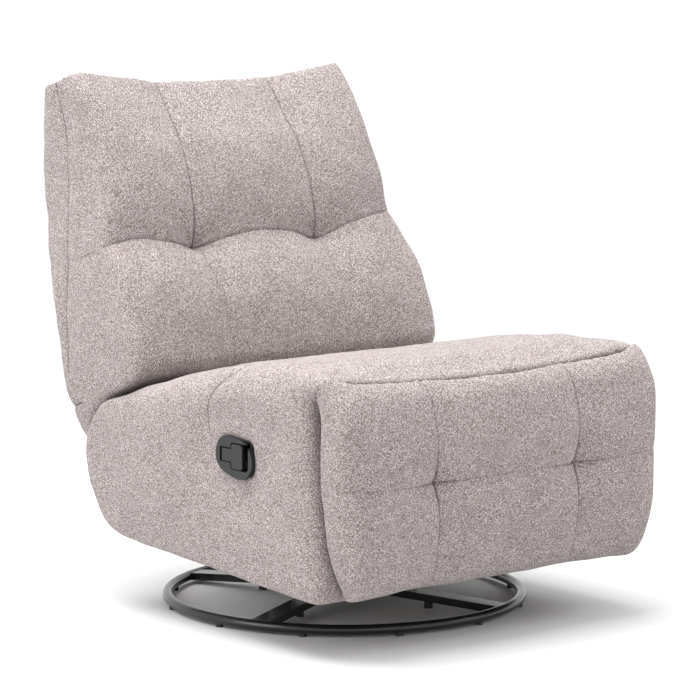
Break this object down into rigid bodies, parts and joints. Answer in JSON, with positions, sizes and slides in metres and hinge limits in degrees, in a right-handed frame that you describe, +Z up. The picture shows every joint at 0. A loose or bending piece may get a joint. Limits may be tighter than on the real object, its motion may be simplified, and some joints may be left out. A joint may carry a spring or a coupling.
{
  "type": "glider nursery chair",
  "caption": "Armless padded swivel glider with a reclining back, a fold-out footrest, a recessed side pull handle and a round steel ring base.",
  "frame": {"origin": "on the floor under the middle of the chair's outline at rest", "axes": "+Z up, the front faces -Y, +X to the sitter's left"},
  "size_m": [0.778, 0.9696, 0.9681],
  "materials": {
    "black_steel": "gloss black powder coat",
    "frame_steel": "satin black",
    "zinc_hardware": "zinc plated",
    "spring_steel": "oiled",
    "glide_plastic": "moulded black",
    "handle_plastic": "fine grained black",
    "plywood": "raw plywood",
    "upholstery": "nubby melange weave",
    "webbing": "elastic webbing"
  },
  "bodies": {
    "base": {"ring_half_front": "black_steel", "ring_half_rear": "black_steel", "ring_joint_sleeves": "frame_steel", "cross_bar": "black_steel", "cross_bar_halves": "black_steel", "hub_plate": "black_steel", "hub_bolts": "zinc_hardware", "ring_glides": "glide_plastic", "bar_glides": "glide_plastic", "swivel_race_lower": "frame_steel"},
    "swivel_frame": {"swivel_race_upper": "frame_steel", "swivel_balls": "spring_steel", "swivel_crossbars": "frame_steel", "swivel_rails": "frame_steel", "hanger_brackets": "frame_steel", "upper_link_pins": "zinc_hardware"},
    "front_links": {"front_swing_links": "frame_steel", "front_link_bushes": "glide_plastic"},
    "rear_links": {"rear_swing_links": "frame_steel", "rear_link_bushes": "glide_plastic"},
    "seat": {"lower_link_pins": "zinc_hardware", "carriage_hangers": "frame_steel", "carriage_rails": "frame_steel", "carriage_crossbars": "frame_steel", "mechanism_plate_left": "frame_steel", "mechanism_plate_right": "frame_steel", "mechanism_bolts": "zinc_hardware", "side_board_left": "plywood", "side_board_right": "plywood", "front_rail": "plywood", "rear_rail": "plywood", "rear_panel": "plywood", "seat_springs": "spring_steel", "seat_foam": "upholstery", "side_pad_left": "upholstery", "side_pad_right": "upholstery", "handle_bezel": "handle_plastic", "handle_pin": "zinc_hardware", "handle_spring": "spring_steel", "release_cable": "glide_plastic", "cable_ferrules": "zinc_hardware", "recline_bolts": "zinc_hardware", "footrest_bolts": "zinc_hardware"},
    "back": {"back_brackets": "frame_steel", "back_stiles": "frame_steel", "back_rails": "frame_steel", "back_webbing": "webbing", "back_cushion": "upholstery", "back_rear_pad": "upholstery", "back_skirt": "upholstery"},
    "footrest": {"footrest_board": "plywood", "footrest_brackets": "frame_steel", "footrest_pad": "upholstery", "footrest_link_pins": "zinc_hardware"},
    "footrest_crank": {"footrest_cranks": "frame_steel", "crank_pins": "zinc_hardware"},
    "footrest_coupler": {"footrest_couplers": "frame_steel"},
    "handle": {"handle_paddle": "handle_plastic"},
    "release_lever": {"release_lever": "frame_steel"}
  },
  "joints": [
    {"name": "swivel", "type": "hinge", "parent": "base", "child": "swivel_frame", "pos_m": [0, -0.015, 0.0425], "axis": [0, 0, 1], "continuous": true},
    {"name": "glide", "type": "hinge", "parent": "swivel_frame", "child": "rear_links", "pos_m": [0, 0.095, 0.205], "axis": [1, 0, 0], "range_deg": [-26, 26]},
    {"name": "front_link_swing", "type": "hinge", "parent": "swivel_frame", "child": "front_links", "pos_m": [0, -0.125, 0.205], "axis": [1, 0, 0], "range_deg": [-26, 26]},
    {"name": "seat_level", "type": "hinge", "parent": "rear_links", "child": "seat", "pos_m": [0, 0.095, 0.095], "axis": [1, 0, 0], "range_deg": [-26, 26]},
    {"name": "recline", "type": "hinge", "parent": "seat", "child": "back", "pos_m": [0, 0.174, 0.278], "axis": [-1, 0, 0], "range_deg": [0, 30]},
    {"name": "footrest_fold", "type": "hinge", "parent": "seat", "child": "footrest", "pos_m": [0, -0.395, 0.458], "axis": [-1, 0, 0], "range_deg": [0, 82]},
    {"name": "footrest_crank_swing", "type": "hinge", "parent": "seat", "child": "footrest_crank", "pos_m": [0, -0.282, 0.423], "axis": [-1, 0, 0], "range_deg": [0, 82]},
    {"name": "footrest_coupler_swing", "type": "hinge", "parent": "footrest_crank", "child": "footrest_coupler", "pos_m": [0, -0.278, 0.311], "axis": [-1, 0, 0], "range_deg": [-82, 0]},
    {"name": "handle_pull", "type": "hinge", "parent": "seat", "child": "handle", "pos_m": [-0.374, -0.146, 0.332], "axis": [0, 0, -1], "range_deg": [0, 40], "stiffness_Nm_per_rad": 0.6, "springref_deg": -11.46},
    {"name": "release_lever_swing", "type": "hinge", "parent": "seat", "child": "release_lever", "pos_m": [-0.286, -0.24, 0.306], "axis": [1, 0, 0], "range_deg": [0, 8]}
  ],
  "couplings": [
    {"joint": "front_link_swing", "follows": "glide", "ratio": 1},
    {"joint": "seat_level", "follows": "glide", "ratio": -1},
    {"joint": "footrest_crank_swing", "follows": "footrest_fold", "ratio": 1},
    {"joint": "footrest_coupler_swing", "follows": "footrest_fold", "ratio": -1},
    {"joint": "release_lever_swing", "follows": "handle_pull", "ratio": 0.2}
  ]
}
